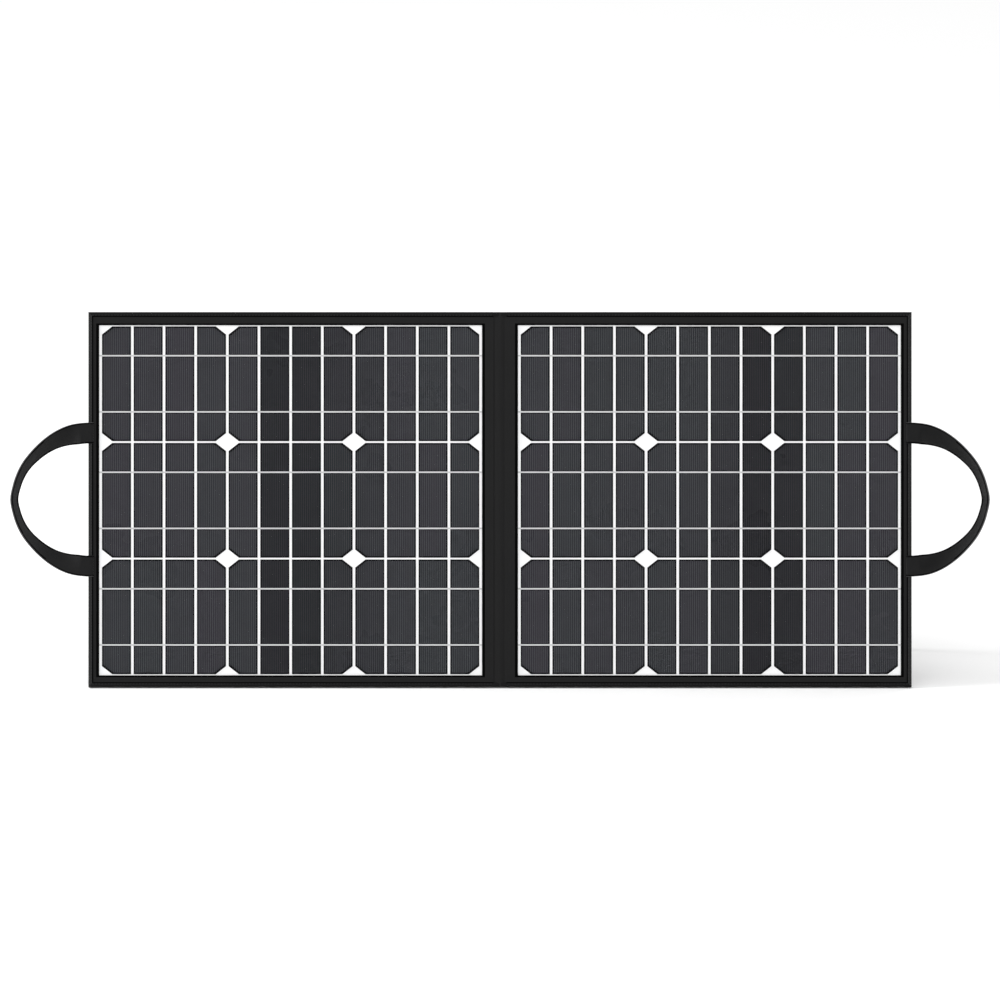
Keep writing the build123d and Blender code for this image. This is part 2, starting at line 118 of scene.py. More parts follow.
# ---------------------------------------------------------------- materials
class Paint:
    """A small helper round one material's node tree."""

    def __init__(self, name, color, rough, **sockets):
        self.m = bpy.data.materials.new(name)
        self.m.use_nodes = True
        self.t = self.m.node_tree
        self.p = self.t.nodes["Principled BSDF"]
        self.p.inputs["Base Color"].default_value = (*color, 1)
        self.p.inputs["Roughness"].default_value = rough
        for key, value in sockets.items():
            self.p.inputs[key.replace("_", " ")].default_value = value

    def node(self, kind, **props):
        n = self.t.nodes.new(kind)
        for key, value in props.items():
            setattr(n, key, value)
        return n

    def plug(self, socket, value):
        if isinstance(value, (int, float, tuple)):
            socket.default_value = value
        else:
            self.t.links.new(value, socket)

    def math(self, op, a, b=0.0, c=0.0):
        n = self.node("ShaderNodeMath", operation=op)
        for socket, value in zip(n.inputs, (a, b, c)):
            self.plug(socket, value)
        return n.outputs[0]

    def cloth_uv(self):
        """The piece's own flat coordinates in mm: along and across the cloth."""
        uv = self.node("ShaderNodeUVMap", uv_map="cloth")
        split = self.node("ShaderNodeSeparateXYZ")
        self.plug(split.inputs[0], uv.outputs[0])
        return split.outputs[0], split.outputs[1], uv.outputs[0]

    def leaf_xyz(self):
        """Coordinates of a CAD node in mm along the leaf's own axes."""
        place = self.node("ShaderNodeTexCoord").outputs["Object"]
        found = []
        for axis in BASIS:
            dot = self.node("ShaderNodeVectorMath", operation="DOT_PRODUCT")
            self.plug(dot.inputs[0], place)
            dot.inputs[1].default_value = tuple(axis / MM)
            found.append(dot.outputs["Value"])
        return found

    def noise(self, vector, scale, detail=3.0, rough=0.55):
        n = self.node("ShaderNodeTexNoise")
        self.plug(n.inputs["Vector"], vector)
        n.inputs["Scale"].default_value = scale
        n.inputs["Detail"].default_value = detail
        n.inputs["Roughness"].default_value = rough
        return n.outputs["Fac"]

    def object_vector(self):
        return self.node("ShaderNodeTexCoord").outputs["Object"]

    def wave(self, value, pitch, phase=0.0):
        """A sine of a length in mm, from -1 to 1."""
        turned = self.math("MULTIPLY_ADD", value, 2 * math.pi / pitch, phase)
        return self.math("SINE", turned)

    def remap(self, value, a, b, c, d):
        n = self.node("ShaderNodeMapRange")
        for socket, v in zip(n.inputs[:5], (value, a, b, c, d)):
            self.plug(socket, v)
        return n.outputs[0]

    def tint(self, factor, low, high):
        """Base colour between two colours by a factor from 0 to 1."""
        n = self.node("ShaderNodeMix", data_type="RGBA")
        self.plug(n.inputs["Factor"], factor)
        n.inputs["A"].default_value = (*low, 1)
        n.inputs["B"].default_value = (*high, 1)
        self.plug(self.p.inputs["Base Color"], n.outputs["Result"])
        return n

    def bump(self, height, strength, distance=0.0003):
        n = self.node("ShaderNodeBump")
        n.inputs["Strength"].default_value = strength
        n.inputs["Distance"].default_value = distance
        self.plug(n.inputs["Height"], height)
        self.plug(self.p.inputs["Normal"], n.outputs[0])

    def rough(self, value):
        self.plug(self.p.inputs["Roughness"], value)


def woven(name, low, high, pitch, strength, on_cad=False, sheen=0.05):
    """Plain-woven cloth: over-and-under threads, uneven dye and a little wear."""
    p = Paint(name, low, 0.85, Sheen_Weight=sheen, Sheen_Roughness=0.5, Specular_IOR_Level=0.06)
    u, v = p.leaf_xyz()[:2] if on_cad else p.cloth_uv()[:2]
    under = p.math("MULTIPLY", p.wave(u, pitch * 2), p.wave(v, pitch * 2))
    threads = p.math("ADD", p.wave(u, pitch, 1.2), p.wave(v, pitch, 1.2))
    height = p.math("MULTIPLY_ADD", threads, 0.25, under)
    cloud = p.noise(p.object_vector(), 22.0, 4.0)
    fine = p.noise(p.object_vector(), 900.0, 2.0)
    raised = p.remap(height, -1.2, 1.2, 0.0, 1.0)
    blend = p.math("MULTIPLY_ADD", raised, 0.35, p.math("MULTIPLY", cloud, 0.45))
    p.tint(p.math("MULTIPLY_ADD", fine, 0.25, blend), low, high)
    p.bump(p.math("MULTIPLY_ADD", fine, 0.6, height), strength)
    p.rough(p.remap(cloud, 0.2, 0.8, 0.78, 0.92))
    return p.m


def ribbed(name, low, high, pitch, strength, slant=0.0, sheen=0.06):
    """Tape or webbing: ribs across its length."""
    p = Paint(name, low, 0.8, Sheen_Weight=sheen, Sheen_Roughness=0.45, Specular_IOR_Level=0.08)
    u, v, _ = p.cloth_uv()
    lean = p.math("MULTIPLY_ADD", v, slant, u)
    ribs = p.wave(lean, pitch)
    cross = p.wave(v, pitch * 0.9)
    height = p.math("MULTIPLY_ADD", cross, 0.35, ribs)
    cloud = p.noise(p.object_vector(), 60.0, 4.0)
    fine = p.noise(p.object_vector(), 1200.0, 2.0)
    mixed = p.math("MULTIPLY_ADD", p.remap(height, -1.3, 1.3, 0.0, 1.0), 0.45, p.math("MULTIPLY", cloud, 0.4))
    p.tint(p.math("MULTIPLY_ADD", fine, 0.2, mixed), low, high)
    p.bump(p.math("MULTIPLY_ADD", fine, 0.5, height), strength)
    p.rough(p.remap(cloud, 0.2, 0.8, 0.7, 0.88))
    return p.m


def grained(name, low, high, rough, strength=0.25, scale=700.0, **sockets):
    """Moulded plastic or rubber with a fine texture and faint handling marks."""
    p = Paint(name, low, rough, **sockets)
    cloud = p.noise(p.object_vector(), 35.0, 5.0)
    fine = p.noise(p.object_vector(), scale, 3.0, 0.7)
    p.tint(p.math("MULTIPLY_ADD", fine, 0.3, p.math("MULTIPLY", cloud, 0.7)), low, high)
    p.bump(fine, strength, 0.0002)
    p.rough(p.remap(cloud, 0.25, 0.75, rough - 0.08, rough + 0.1))
    return p.m


def silicon():
    """Dark cell strips: fine finger lines, a tone of their own with the painted reflection band mixed in, and
    a slightly uneven coating.
    """
    p = Paint("silicon", (0.02, 0.02, 0.022), 0.4, Specular_IOR_Level=0.14)
    u, v, _ = p.cloth_uv()
    tone_and_reflection = p.node("ShaderNodeAttribute", attribute_name="tone_and_reflection")
    hue = p.node("ShaderNodeAttribute", attribute_name="hue")
    cloud = p.noise(p.object_vector(), 9.0, 4.0)
    fine = p.noise(p.object_vector(), 260.0, 3.0)
    base = p.math("MULTIPLY_ADD", p.math("SUBTRACT", cloud, 0.5), 0.35, tone_and_reflection.outputs["Fac"])
    level = p.math("MULTIPLY_ADD", p.math("SUBTRACT", fine, 0.5), 0.12, base)
    cool = p.node("ShaderNodeMix", data_type="RGBA")
    p.plug(cool.inputs["Factor"], hue.outputs["Fac"])
    cool.inputs["A"].default_value = (0.017, 0.0193, 0.0222, 1)
    cool.inputs["B"].default_value = (0.0205, 0.0186, 0.0248, 1)
    mixed = p.node("ShaderNodeMix", data_type="RGBA")
    p.plug(mixed.inputs["Factor"], level)
    mixed.inputs["A"].default_value = (0.002, 0.0022, 0.0035, 1)
    p.plug(mixed.inputs["B"], cool.outputs["Result"])
    p.plug(p.p.inputs["Base Color"], mixed.outputs["Result"])
    p.bump(p.math("MULTIPLY_ADD", fine, 0.3, p.wave(v, 0.9)), 0.05, 0.0001)
    p.rough(p.remap(cloud, 0.2, 0.8, 0.24, 0.34))
    return p.m


def finger_metal():
    """Printed silver lines, darker on the strips that carry the painted reflection band."""
    p = Paint("finger_line", (0.05, 0.05, 0.052), 0.5, Specular_IOR_Level=0.1)
    tone_and_reflection = p.node("ShaderNodeAttribute", attribute_name="tone_and_reflection")
    fine = p.noise(p.object_vector(), 400.0, 3.0)
    shine = p.math("MULTIPLY_ADD", fine, 0.2, p.math("MULTIPLY", tone_and_reflection.outputs["Fac"], 0.8))
    p.tint(shine, (0.012, 0.012, 0.014), (0.078, 0.081, 0.087))
    p.bump(fine, 0.05, 0.0001)
    return p.m


FABRIC = woven("oxford_cloth", (0.009, 0.009, 0.0092), (0.0165, 0.0165, 0.0167), 0.85, 0.5)
BACK_FABRIC = woven("back_cloth", (0.012, 0.012, 0.0123), (0.034, 0.034, 0.0345), 1.1, 0.8, sheen=0.1)
BINDING = ribbed("binding_tape", (0.014, 0.014, 0.0142), (0.032, 0.032, 0.0325), 0.9, 0.6)
# Painted shade: a darker copy of the binding tape for the top and bottom runs, which catch less light than
# the sides.
BINDING_PAINTED_SHADE = ribbed("binding_tape_painted_shade", (0.003, 0.003, 0.0032), (0.0105, 0.0105, 0.0107), 0.9, 0.6)
WEBBING = ribbed("webbing", (0.0045, 0.0045, 0.0048), (0.017, 0.017, 0.0175), 1.25, 0.8, slant=0.45)
# Painted highlight: a lighter copy of the webbing for the thickness faces along one edge of each strap.
WEBBING_PAINTED_HIGHLIGHT = ribbed("webbing_painted_highlight", (0.04, 0.04, 0.041), (0.11, 0.11, 0.112), 1.25, 0.6)
THREAD = ribbed("sewing_thread", (0.016, 0.016, 0.017), (0.05, 0.05, 0.052), 0.35, 0.5)
# Painted shade: near-black standing in for shade. It is used for the strip round each window where the
# frame's raised edge shades the film, the groove between binding and frame, and the edges of the handle
# straps.
PAINTED_SHADE_BLACK = grained("painted_shade_black", (0.0004, 0.0004, 0.0005), (0.0013, 0.0013, 0.0014), 0.7, 0.15,
                Specular_IOR_Level=0.02)
CELL = silicon()
# Near-black for the strips' own dark sides and border, and for the painted shadow beside each ribbon.
CELL_BORDER_AND_RIBBON_SHADOW = grained("cell_border_and_ribbon_shadow", (0.0012, 0.0012, 0.0016), (0.003, 0.003, 0.004), 0.5, 0.05,
                     Specular_IOR_Level=0.05)
FINGER = finger_metal()
LAMINATE = grained("white_laminate", (0.84, 0.845, 0.85), (0.9, 0.9, 0.905), 0.45, 0.08, 300.0)
RIBBON = grained("tinned_ribbon", (0.47, 0.47, 0.48), (0.6, 0.6, 0.61), 0.42, 0.08, Metallic=0.2)
FILM = grained("clear_film", (0.0, 0.0, 0.0), (0.002, 0.002, 0.002), 0.22, 0.05, Alpha=0.015,
                Specular_IOR_Level=0.0)
BOARD = grained("stiff_board", (0.03, 0.03, 0.03), (0.06, 0.06, 0.06), 0.7, 0.2)
LEG_BOARD = woven("leg_cloth", (0.012, 0.012, 0.0122), (0.027, 0.027, 0.0275), 0.95, 0.6, on_cad=True)
NYLON = grained("moulded_nylon", (0.012, 0.012, 0.0125), (0.024, 0.024, 0.025), 0.5, 0.35)
RUBBER = grained("foot_rubber", (0.012, 0.012, 0.012), (0.028, 0.028, 0.028), 0.8, 0.5, 500.0)
RIVET = grained("rivet_metal", (0.32, 0.32, 0.33), (0.5, 0.5, 0.51), 0.34, 0.1, Metallic=0.95)
ZIP_COIL = grained("zip_coil", (0.008, 0.008, 0.0085), (0.02, 0.02, 0.021), 0.38, 0.1)
ZIP_METAL = grained("zip_nickel", (0.09, 0.09, 0.095), (0.17, 0.17, 0.175), 0.3, 0.12, Metallic=0.95)
CABLE = grained("cable_jacket", (0.012, 0.012, 0.012), (0.024, 0.024, 0.024), 0.6, 0.2)
CASE = grained("case_plastic", (0.018, 0.018, 0.019), (0.032, 0.032, 0.034), 0.55, 0.5, 900.0)
CIRCUIT = grained("solder_mask", (0.012, 0.10, 0.035), (0.02, 0.15, 0.055), 0.35, 0.1, Coat_Weight=0.4)
SHELL_METAL = grained("stamped_metal", (0.45, 0.45, 0.46), (0.6, 0.6, 0.61), 0.3, 0.1, Metallic=0.95)
LENS = grained("lens_green", (0.05, 0.5, 0.12), (0.09, 0.62, 0.18), 0.12, 0.03, Coat_Weight=0.5, Alpha=0.85)


# ---------------------------------------------------------------- mesh building
def piece(name, points, faces, material, uv=None, smooth=True, mats=None, in_leaf=True):
    """A mesh object from points in leaf millimetres, with its flat cloth coordinates in mm."""
    me = bpy.data.meshes.new(name)
    co = world(points) if in_leaf else np.asarray(points, float)
    me.from_pydata([tuple(c) for c in co], [], faces)
    skin = bmesh.new()
    skin.from_mesh(me)
    bmesh.ops.recalc_face_normals(skin, faces=skin.faces)
    skin.to_mesh(me)
    skin.free()
    me.materials.append(material)
    layer = me.uv_layers.new(name="cloth")
    flat = np.asarray(points, float)[:, :2] if uv is None else np.asarray(uv, float)
    index = np.empty(len(me.loops), np.int32)
    me.loops.foreach_get("vertex_index", index)
    layer.data.foreach_set("uv", flat[index].astype(np.float32).ravel())
    if mats:
        for extra in mats[0]:
            me.materials.append(extra)
        me.polygons.foreach_set("material_index", np.asarray(mats[1], np.int32))
    me.polygons.foreach_set("use_smooth", [smooth] * len(me.polygons))
    me.update()
    me.validate()
    if smooth:
        me.set_sharp_from_angle(angle=math.radians(38))
    ob = bpy.data.objects.new(name, me)
    bpy.context.scene.collection.objects.link(ob)
    return ob


def loft(rings, closed_ring=True, closed_path=False, caps=True):
    """Points, faces and flat coordinates of a skin over rings of equal length."""
    rings = [np.asarray(r, float) for r in rings]
    n, k = len(rings[0]), len(rings)
    points = np.concatenate(rings)
    faces = []
    for i in range(k if closed_path else k - 1):
        a, b = i * n, ((i + 1) % k) * n
        for j in range(n if closed_ring else n - 1):
            j2 = (j + 1) % n
            faces.append((a + j, a + j2, b + j2, b + j))
    if caps and closed_ring and not closed_path:
        faces.append(tuple(reversed(range(n))))
        faces.append(tuple((k - 1) * n + j for j in range(n)))
    centres = np.array([r.mean(axis=0) for r in rings])
    along = np.concatenate([[0], np.cumsum(np.linalg.norm(np.diff(centres, axis=0), axis=1))])
    across = np.concatenate([[0], np.cumsum(np.linalg.norm(np.diff(rings[0], axis=0), axis=1))])
    uv = np.array([(along[i], across[j]) for i in range(k) for j in range(n)])
    return points, faces, uv


def joined(parts):
    """One point and face list from several."""
    points, faces, uvs, start = [], [], [], 0
    for p, f, uv in parts:
        points.append(np.asarray(p, float))
        uvs.append(np.asarray(uv, float))
        faces.extend(tuple(i + start for i in q) for q in f)
        start += len(p)
    return np.concatenate(points), faces, np.concatenate(uvs)


def thread_run(path, normal, pitch=3.4, length=2.5, radius=0.26, sink=0.12):
    """Stitches along a path in leaf mm: each is a short thread that dives into the cloth at both ends."""
    path = np.asarray(path, float)
    seg = np.linalg.norm(np.diff(path, axis=0), axis=1)
    along = np.concatenate([[0], np.cumsum(seg)])
    normal = np.asarray(normal, float)
    parts = []
    count = int(along[-1] / pitch)
    for i in range(count):
        s = (i + 0.5) * along[-1] / count
        k = min(int(np.searchsorted(along, s, side="right")) - 1, len(seg) - 1)
        t = (path[k + 1] - path[k]) / seg[k]
        c = path[k] + t * (s - along[k])
        side = np.cross(normal, t)
        rings = []
        for f, size, lift in ((-0.5, 0.35, -sink), (-0.28, 1.0, 0.6 * radius), (0.0, 1.05, radius),
                              (0.28, 1.0, 0.6 * radius), (0.5, 0.35, -sink)):
            mid = c + t * (f * length) + normal * lift
            rings.append([mid + radius * size * (math.cos(a) * side + math.sin(a) * normal)
                          for a in np.linspace(0, 2 * math.pi, 6, endpoint=False)])
        parts.append(loft(rings))
    return joined(parts)


def spline(points, count):
    """A smooth curve through a few points, sampled evenly in its own parameter."""
    p = np.asarray(points, float)
    p = np.vstack([2 * p[0] - p[1], p, 2 * p[-1] - p[-2]])
    out = []
    for s in np.linspace(0, len(points) - 1, count):
        i = min(int(s), len(points) - 2)
        t = s - i
        a, b, c, d = p[i:i + 4]
        squared, cubed = 2 * a - 5 * b + 4 * c - d, 3 * b - a - 3 * c + d
        out.append(0.5 * (2 * b + (c - a) * t + squared * t * t + cubed * t ** 3))
    return np.array(out)


def dress(node, material, bevel=0.0, segments=2):
    """Gives a CAD node its material, and softens its edges where it is moulded or stamped."""
    ob = NODES[node]
    ob.data.materials.clear()
    ob.data.materials.append(material)
    if bevel:
        mod = ob.modifiers.new("edge", "BEVEL")
        mod.width = bevel * MM
        mod.segments = segments
        mod.limit_method = "ANGLE"
        mod.angle_limit = math.radians(40)


# ---------------------------------------------------------------- camera, light and floor
CAMERA_FAR = 9.0
VIEW_SPAN = 1.09311
VIEW_V = 204.5


def set_camera():
    data = bpy.data.cameras.new("camera")
    ob = bpy.data.objects.new("camera", data)
    bpy.context.scene.collection.objects.link(ob)
    place = world([0.0, VIEW_V, W_FRAME]) + OUT * CAMERA_FAR
    turn = Matrix([list(r) for r in BASIS.T]).to_4x4()
    ob.matrix_world = Matrix.Translation(Vector(place)) @ turn
    data.sensor_width = 36.0
    data.lens = 36.0 * CAMERA_FAR / VIEW_SPAN
    data.clip_end = 200.0
    bpy.context.scene.camera = ob


def area_light(name, place, aim, size, power, color=(1, 1, 1)):
    data = bpy.data.lights.new(name, "AREA")
    data.shape = "RECTANGLE"
    data.size, data.size_y = size
    data.energy = power
    data.color = color
    ob = bpy.data.objects.new(name, data)
    bpy.context.scene.collection.objects.link(ob)
    ob.location = place
    ob.rotation_euler = (Vector(aim) - Vector(place)).to_track_quat("-Z", "Y").to_euler()
    return ob


def set_light():
    scene = bpy.context.scene
    scene.view_settings.view_transform = "Standard"
    scene.view_settings.look = "None"
    sky = bpy.data.worlds.new("studio")
    sky.use_nodes = True
    sky.node_tree.nodes["Background"].inputs["Color"].default_value = (1, 1, 1, 1)
    sky.node_tree.nodes["Background"].inputs["Strength"].default_value = 0.95
    scene.world = sky
    area_light("key", (-3.5, -0.1, 2.0), (0.1, 0.0, 0.1), (0.9, 0.9), 110)
    area_light("fill", (1.8, -4.5, 3.5), (0, 0, 0.2), (4.0, 3.0), 60)

    me = bpy.data.meshes.new("floor")
    reach = 60.0
    corners = [(-reach, -reach, 0), (reach, -reach, 0), (reach, reach, 0), (-reach, reach, 0)]
    me.from_pydata(corners, [], [(0, 1, 2, 3)])
    floor = bpy.data.objects.new("floor", me)
    scene.collection.objects.link(floor)
    p = Paint("pale_floor", (0.93, 0.93, 0.93), 0.9, Specular_IOR_Level=0.0)
    me.materials.append(p.m)


set_camera()
set_light()


# ---------------------------------------------------------------- cells, ribbons and laminate
PITCH = CELL_W + CELL_GAP
CELL_X0 = (WINDOW[0] + WINDOW[1]) / 2 - (STRIPS * PITCH - CELL_GAP) / 2 + CELL_W / 2
ROW_MID = (WINDOW[2] + WINDOW[3]) / 2
# Painted reflection: strips darkened in their colour where the glossy cells show a dark reflected band across
# each leaf.
PAINTED_REFLECTION_BANDS = {"left": {5: 0.35, 6: 0.4, 7: 0.7, 8: 0.85}, "right": {6: 0.75, 7: 0.3, 8: 0.38}}


def painted_reflection_level(name, side, col):
    """How bright a strip is painted, counted from the left of its leaf as seen from the front: the darker
    strips carry a painted reflection band.
    """
    return PAINTED_REFLECTION_BANDS[name].get(col if side > 0 else STRIPS - 1 - col, 1.0)


def strip_corners(col, grow):
    """Corners of a strip about its centre, moved in by grow; wafer corners are cut."""
    a, b = CELL_W / 2 - grow, CELL_H / 2 - grow
    cx, cv = CHAMFER_X + 0.6 * grow, CHAMFER_V + 0.6 * grow
    left = [(-a, -b + cv), (-a, b - cv), (-a + cx, b)] if col % 4 == 0 else [(-a, -b), (-a, b), (-a + cx, b)]
    right = [(a - cx, b), (a, b - cv), (a, -b + cv), (a - cx, -b)]
    if col % 4 != 3:
        right = [(a - cx, b), (a, b), (a, -b), (a - cx, -b)]
    return np.array(left + right + [(-a + cx, -b)])


# Strip section: distance in from the strip's outline, and height; the last band is its dark border.
CELL_PROFILE = ((-0.2, W_SHEET), (-0.2, W_SHEET + 0.28), (-0.14, W_SHEET + 0.3), (1.15, W_SHEET + 0.3))


def build_cells(name, side):
    """All strips of a leaf in one mesh: dark sides and border, then the face, toned at random and by the
    painted reflection band.
    """
    points, faces, uvs, kinds, tones_and_reflections, hues = [], [], [], [], [], []
    for row in range(ROWS):
        for col in range(STRIPS):
            x = CELL_X0 + col * PITCH
            v = ROW_MID + (row - 1) * (CELL_H + ROW_GAP)
            tone_and_reflection = painted_reflection_level(name, side, col) * RANDOM.uniform(0.9, 1.06)
            hue = RANDOM.random()
            start = len(points)
            for grow, w in CELL_PROFILE:
                for cx, cv in strip_corners(col, grow):
                    points.append((side * (x + cx), v + cv, w))
                    uvs.append((x + cx, v + cv))
                    tones_and_reflections.append(tone_and_reflection)
                    hues.append(hue)
            n = 8
            for ring in range(3):
                for j in range(n):
                    a, b = start + ring * n + j, start + ring * n + (j + 1) % n
                    faces.append((a, b, b + n, a + n))
                    kinds.append(1)
            faces.append(tuple(start + 3 * n + j for j in range(n)))
            kinds.append(0)
            faces.append(tuple(start + j for j in range(n)))
            kinds.append(1)
    ob = piece(f"{name}_cell_strips", points, faces, CELL, uvs, False, ((CELL_BORDER_AND_RIBBON_SHADOW,), kinds))
    for key, values in (("tone_and_reflection", tones_and_reflections), ("hue", hues)):
        ob.data.attributes.new(key, "FLOAT", "POINT").data.foreach_set("value", values)
    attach(ob, f"{name}_leaf")
    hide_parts(f"{name}_cells")


def build_fingers(name, side):
    """Fine printed lines up each strip, as thin raised bars."""
    parts, tones_and_reflections = [], []
    for row in range(ROWS):
        v = ROW_MID + (row - 1) * (CELL_H + ROW_GAP)
        for col in range(STRIPS):
            x = CELL_X0 + col * PITCH
            tones_and_reflections += [painted_reflection_level(name, side, col)] * 6 * FINGERS
            for k in range(FINGERS):
                off = (k + 0.5) / FINGERS * (CELL_W - 2.4) - (CELL_W - 2.4) / 2
                cut = 1.7
                if col % 4 == 0:
                    cut += max(0.0, (CHAMFER_X - (off + CELL_W / 2)) / CHAMFER_X * CHAMFER_V)
                if col % 4 == 3:
                    cut += max(0.0, (CHAMFER_X - (CELL_W / 2 - off)) / CHAMFER_X * CHAMFER_V)
                h, r = CELL_H / 2 - cut, 0.3
                cx = side * (x + off)
                parts.append(loft([[(cx - r, end, W_SHEET + 0.29), (cx, end, W_SHEET + 0.335),
                                    (cx + r, end, W_SHEET + 0.29)] for end in (v - h, v + h)]))
    p, f, uv = joined(parts)
    ob = piece(f"{name}_finger_lines", p, f, FINGER, uv, False)
    ob.data.attributes.new("tone_and_reflection", "FLOAT", "POINT").data.foreach_set("value", tones_and_reflections)
    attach(ob, f"{name}_leaf")


RIBBON_V, RIBBON_HALF, RIBBON_X = 30.7, 0.85, (16.0, 441.5)


def build_ribbons(name, side):
    """Tinned ribbons across the strips, each with a dark bar under it over the silicon: painted shadow along
    both sides of the ribbon.
    """
    ribbons, ribbon_shadows = [], []
    for row in range(ROWS):
        for up in (-RIBBON_V, RIBBON_V):
            v = ROW_MID + (row - 1) * (CELL_H + ROW_GAP) + up
            rings = []
            for x in np.linspace(*RIBBON_X, 90):
                rise = 0.02 * math.sin(x * 0.9) + 0.015 * math.sin(x * 0.31)
                rings.append([(side * x, v - RIBBON_HALF, 3.3), (side * x, v - RIBBON_HALF, 3.42),
                              (side * x, v - 0.5, 3.49 + rise), (side * x, v + 0.5, 3.49 + rise),
                              (side * x, v + RIBBON_HALF, 3.42), (side * x, v + RIBBON_HALF, 3.3)])
            ribbons.append(loft(rings))
            # Painted shadow: a dark bar wider than the ribbon, on each strip it crosses.
            for col in range(STRIPS):
                x = CELL_X0 + col * PITCH
                rings = [[(side * (x + h), v - 1.75, 3.29), (side * (x + h), v - 1.75, 3.345),
                          (side * (x + h), v + 1.75, 3.345), (side * (x + h), v + 1.75, 3.29)]
                         for h in (-CELL_W / 2 + 0.3, CELL_W / 2 - 0.3)]
                ribbon_shadows.append(loft(rings))
    p, f, uv = joined(ribbons)
    ob = piece(f"{name}_tinned_ribbons", p, f, RIBBON, uv)
    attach(ob, f"{name}_leaf")
    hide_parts(f"{name}_ribbons")
    p, f, uv = joined(ribbon_shadows)
    ob = piece(f"{name}_painted_ribbon_shadows", p, f, CELL_BORDER_AND_RIBBON_SHADOW, uv, False)
    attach(ob, f"{name}_leaf")


def build_film(name, side):
    """Clear front film with softly rounded edges where it dips under the frame."""
    a, b, c, d = WINDOW
    rings = []
    profile = ((6.0, 3.55), (6.0, 3.62), (0.4, 3.66), (-0.5, W_FILM - 0.04), (-1.0, W_FILM), (-30.0, W_FILM))
    for grow, w in profile:
        x0, x1, v0, v1 = a - grow, b + grow, c - grow, d + grow
        rings.append([(side * x0, v0, w), (side * x1, v0, w), (side * x1, v1, w), (side * x0, v1, w)])
    low = [(x, v, 3.55) for x, v, _ in rings[-1]]
    rings = [low] + rings
    p, f, uv = loft(rings, caps=True)
    ob = piece(f"{name}_clear_film", p, f, FILM, p[:, :2], True)
    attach(ob, f"{name}_leaf")
    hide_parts(f"{name}_front_film")


for name, side in SIDES:
    build_cells(name, side)
    build_fingers(name, side)
    build_ribbons(name, side)
    build_film(name, side)
    dress(f"{name}_backsheet", LAMINATE)
    dress(f"{name}_row_links", RIBBON)
    dress(f"{name}_board", BOARD)


# ---------------------------------------------------------------- front frame, painted shade at the window's edge, and binding
def rect_loop(side, grow, w, n=26, wobble=0.0, tall=0.62):
    """A closed loop round the window, grown outwards and held inside the leaf."""
    x0 = max(WINDOW[0] - grow, INNER)
    x1 = min(WINDOW[1] + grow, HALF - 0.6)
    v0 = max(WINDOW[2] - grow * tall, 0.6)
    v1 = min(WINDOW[3] + grow * tall, HEIGHT - 0.6)
    corners = [(x0, v0), (x1, v0), (x1, v1), (x0, v1)]
    loop = []
    for i in range(4):
        p, q = np.array(corners[i]), np.array(corners[(i + 1) % 4])
        for t in np.linspace(0, 1, n, endpoint=False):
            x, v = p + (q - p) * t
            ripple = wobble * (math.sin(x * 0.13 + v * 0.07) + math.sin(x * 0.047 - v * 0.11 + 1.0))
            loop.append((side * x, v, w + ripple))
    return loop


def ring_piece(name, side, rows, material):
    rings = [rect_loop(side, g, w, wobble=k) for g, w, k in rows]
    p, f, _ = loft(rings, closed_path=True)
    return piece(name, p, f, material, p[:, :2])


def build_frame(name, side):
    rows = [(3.1, W_SEAT, 0), (3.1, 4.2, 0), (3.2, 4.36, 0), (3.5, W_FRAME, 0), (4.4, W_FRAME, 0.01),
            (5.5, W_FRAME - 0.05, 0.02), (7.0, W_FRAME - 0.1, 0.01), (30.0, W_FRAME - 0.1, 0.0),
            (30.0, W_SEAT, 0.0)]
    ob = ring_piece(f"{name}_frame_cloth", side, rows, FABRIC)
    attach(ob, f"{name}_leaf")
    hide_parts(f"{name}_front_frame")
    # Painted shade: a black strip round the window, where the frame's raised edge shades the film.
    rows = [(-0.1, 3.72, 0), (-0.1, 3.98, 0), (0.15, 4.12, 0), (2.9, 4.12, 0), (3.15, 4.0, 0),
            (3.15, 3.72, 0)]
    edge = ring_piece(f"{name}_window_edge_painted_shade", side, rows, PAINTED_SHADE_BLACK)
    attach(edge, f"{name}_leaf")


# Binding section: distance in from the leaf's edge, and height out of its front.
TAPE = ((5.3, 4.32), (5.3, 4.45), (4.0, 5.0), (2.4, 5.03), (1.0, 4.98), (0.35, 4.75), (0.04, 4.2),
        (0.0, 2.0), (0.0, -0.5), (0.12, -1.05), (0.5, -1.36), (1.2, -1.4), (4.2, -1.4), (4.5, -1.28),
        (4.5, -0.84), (0.7, -0.82), (0.6, -0.7), (0.6, 4.3), (0.75, 4.42))


def tape_path(step=9.0):
    """Stations round the free edges of a leaf: edge point and inward direction, mitred at the corners."""
    runs = (((INNER, HEIGHT), (HALF, HEIGHT), (0, -1)), ((HALF, HEIGHT), (HALF, 0.0), (-1, 0)),
            ((HALF, 0.0), (INNER, 0.0), (0, 1)))
    stations = []
    for k, (p, q, inward) in enumerate(runs):
        p, q, inward = np.array(p), np.array(q), np.array(inward, float)
        n = max(int(np.linalg.norm(q - p) / step), 2)
        ts = np.linspace(0, 1, n + 1)
        for i, t in enumerate(ts):
            if k and i == 0:
                continue
            way = inward
            if i == n and k < 2:
                way = inward + np.array(runs[k + 1][2], float)
            stations.append((p + (q - p) * t, way))
    return stations


